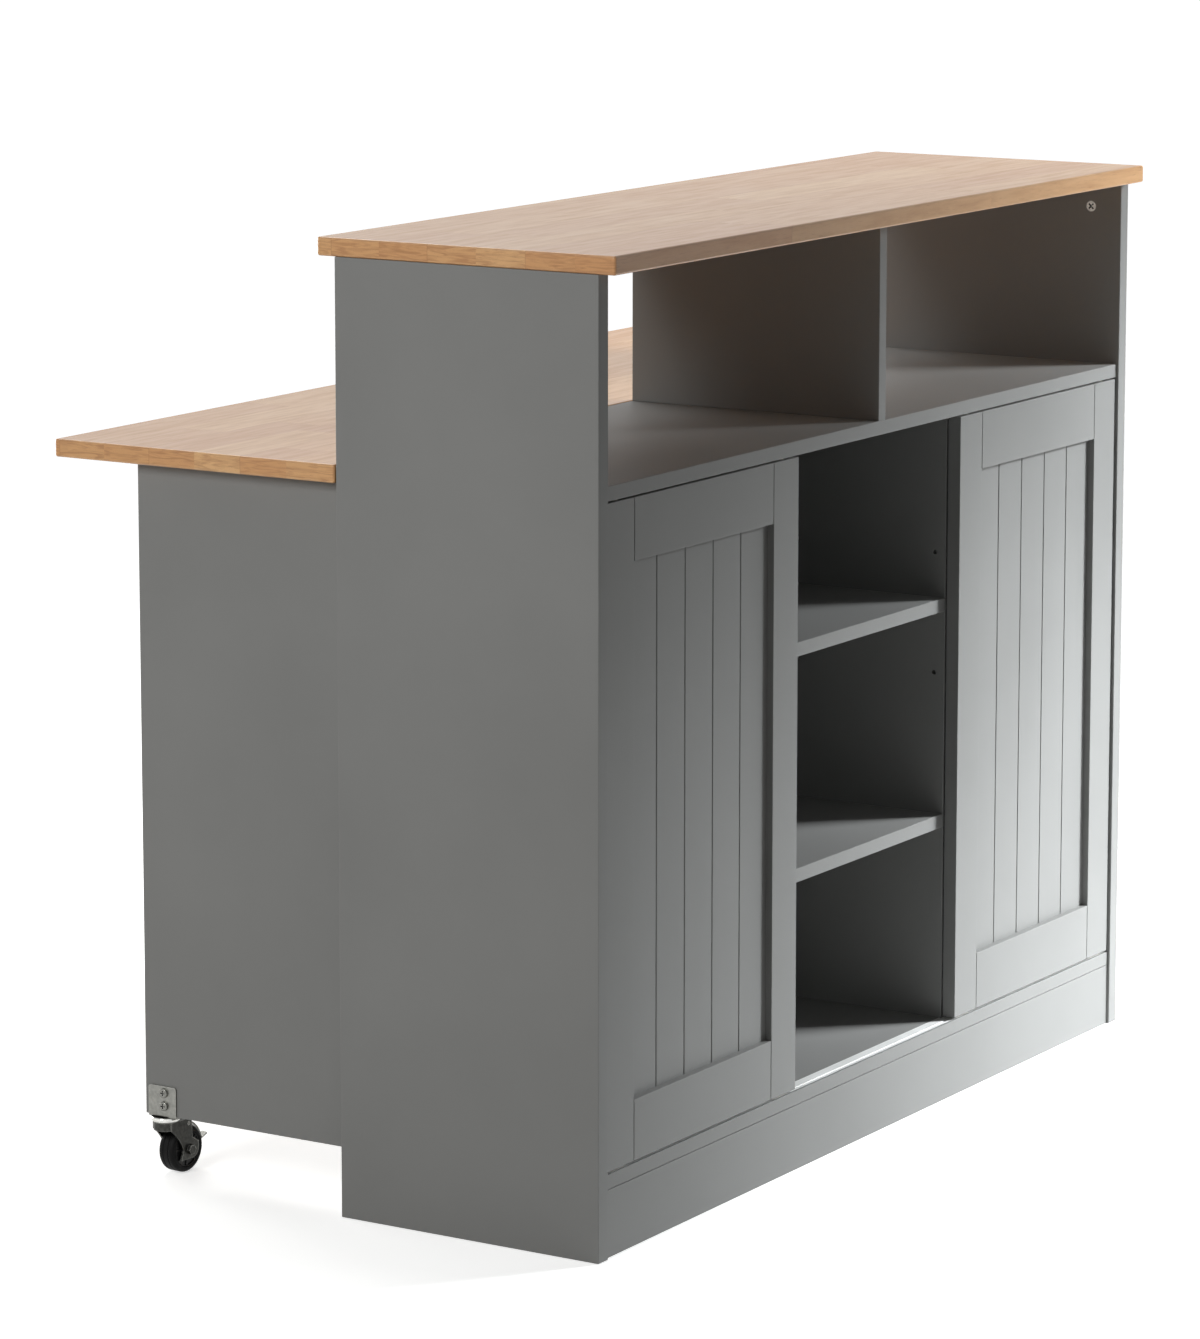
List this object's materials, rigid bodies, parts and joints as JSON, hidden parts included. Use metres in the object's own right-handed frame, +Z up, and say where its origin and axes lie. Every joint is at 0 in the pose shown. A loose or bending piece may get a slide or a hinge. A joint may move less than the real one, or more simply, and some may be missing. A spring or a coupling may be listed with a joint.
{
  "type": "kitchen island",
  "caption": "Grey painted kitchen island with hardwood tops: a bar-height cabinet with sliding beadboard doors round an open niche, and a table on braked casters that rolls out behind it.",
  "frame": {"origin": "on the floor under the middle of the whole island, with the table docked", "axes": "+X along the width, to the right as seen from the doors; +Y from the doors to the table; +Z up"},
  "size_m": [1.138, 0.679, 1],
  "materials": {
    "hardwood_top": "clear lacquered finger-jointed hardwood",
    "grey_painted_board": "satin grey paint on board",
    "bare_hardboard": "grey painted hardboard",
    "white_track": "white extruded plastic",
    "zinc_steel": "bright zinc plated",
    "dull_steel": "dull pressed steel, dark zinc",
    "black_rubber": "matt",
    "wheel_rubber": "satin moulded",
    "nylon": "natural white",
    "beech_dowel": "fluted beech, bare"
  },
  "bodies": {
    "cabinet": {"back_panel": "bare_hardboard", "bar_top": "hardwood_top", "bottom_board": "grey_painted_board", "bottom_track": "white_track", "cam_bolts": "zinc_steel", "cam_locks": "zinc_steel", "centre_divider": "grey_painted_board", "dock_pads": "nylon", "door_bumpers": "black_rubber", "dowels": "beech_dowel", "left_bay_shelf": "grey_painted_board", "niche_shelf_lower": "grey_painted_board", "niche_shelf_upper": "grey_painted_board", "partition_left": "grey_painted_board", "partition_right": "grey_painted_board", "plinth_front": "grey_painted_board", "plinth_rear": "grey_painted_board", "right_bay_shelf": "grey_painted_board", "serving_shelf": "grey_painted_board", "shelf_pins": "zinc_steel", "side_panel_left": "grey_painted_board", "side_panel_right": "grey_painted_board", "top_channel": "white_track"},
    "door_left": {"left_door_bottom_rail": "grey_painted_board", "left_door_glides": "nylon", "left_door_guides": "nylon", "left_door_inner_stile": "grey_painted_board", "left_door_outer_stile": "grey_painted_board", "left_door_panel": "grey_painted_board", "left_door_top_rail": "grey_painted_board"},
    "door_right": {"right_door_bottom_rail": "grey_painted_board", "right_door_glides": "nylon", "right_door_guides": "nylon", "right_door_inner_stile": "grey_painted_board", "right_door_outer_stile": "grey_painted_board", "right_door_panel": "grey_painted_board", "right_door_top_rail": "grey_painted_board"},
    "table": {"bracket_screws": "zinc_steel", "caster_bracket_left": "zinc_steel", "caster_bracket_right": "zinc_steel", "roller_axles": "zinc_steel", "roller_bracket_left": "zinc_steel", "roller_bracket_right": "zinc_steel", "table_apron": "grey_painted_board", "table_back": "grey_painted_board", "table_cam_bolts": "zinc_steel", "table_cam_locks": "zinc_steel", "table_side_left": "grey_painted_board", "table_side_right": "grey_painted_board", "table_top": "hardwood_top"},
    "caster_left": {"left_caster_axle": "zinc_steel", "left_caster_fork": "dull_steel"},
    "caster_left_wheel": {"left_caster_wheel": "wheel_rubber"},
    "caster_left_brake": {"left_caster_brake": "zinc_steel"},
    "caster_right": {"right_caster_axle": "zinc_steel", "right_caster_fork": "dull_steel"},
    "caster_right_wheel": {"right_caster_wheel": "wheel_rubber"},
    "caster_right_brake": {"right_caster_brake": "zinc_steel"},
    "roller_left": {"roller_wheel_left": "wheel_rubber"},
    "roller_right": {"roller_wheel_right": "wheel_rubber"}
  },
  "joints": [
    {"name": "left_door_slide", "type": "slide", "parent": "cabinet", "child": "door_left", "axis": [1, 0, 0], "range_m": [0, 0.1755]},
    {"name": "right_door_slide", "type": "slide", "parent": "cabinet", "child": "door_right", "axis": [-1, 0, 0], "range_m": [0, 0.1755]},
    {"name": "table_roll_out", "type": "slide", "parent": "cabinet", "child": "table", "axis": [0, 1, 0], "range_m": [0, 0.5]},
    {"name": "left_caster_swivel", "type": "hinge", "parent": "table", "child": "caster_left", "pos_m": [-0.54, 0.23, 0.06], "axis": [0, 0, 1], "continuous": true},
    {"name": "left_caster_spin", "type": "hinge", "parent": "caster_left", "child": "caster_left_wheel", "pos_m": [-0.51706, 0.2284, 0.025], "axis": [0.0698, 0.9976, 0], "continuous": true},
    {"name": "left_brake_press", "type": "hinge", "parent": "caster_left", "child": "caster_left_brake", "pos_m": [-0.51855, 0.2285, 0.0535], "axis": [0.0698, 0.9976, 0], "range_deg": [0, 6]},
    {"name": "left_roller_spin", "type": "hinge", "parent": "table", "child": "roller_left", "pos_m": [-0.53, -0.0315, 0.025], "axis": [-1, 0, 0], "continuous": true},
    {"name": "right_caster_swivel", "type": "hinge", "parent": "table", "child": "caster_right", "pos_m": [0.54, 0.23, 0.06], "axis": [0, 0, 1], "continuous": true},
    {"name": "right_caster_spin", "type": "hinge", "parent": "caster_right", "child": "caster_right_wheel", "pos_m": [0.51706, 0.2284, 0.025], "axis": [0.0698, -0.9976, 0], "continuous": true},
    {"name": "right_brake_press", "type": "hinge", "parent": "caster_right", "child": "caster_right_brake", "pos_m": [0.51855, 0.2285, 0.0535], "axis": [0.0698, -0.9976, 0], "range_deg": [0, 6]},
    {"name": "right_roller_spin", "type": "hinge", "parent": "table", "child": "roller_right", "pos_m": [0.53, -0.0315, 0.025], "axis": [-1, 0, 0], "continuous": true}
  ],
  "couplings": [
    {"joint": "left_roller_spin", "follows": "table_roll_out", "rad_per_m": 40},
    {"joint": "right_roller_spin", "follows": "table_roll_out", "rad_per_m": 40}
  ]
}
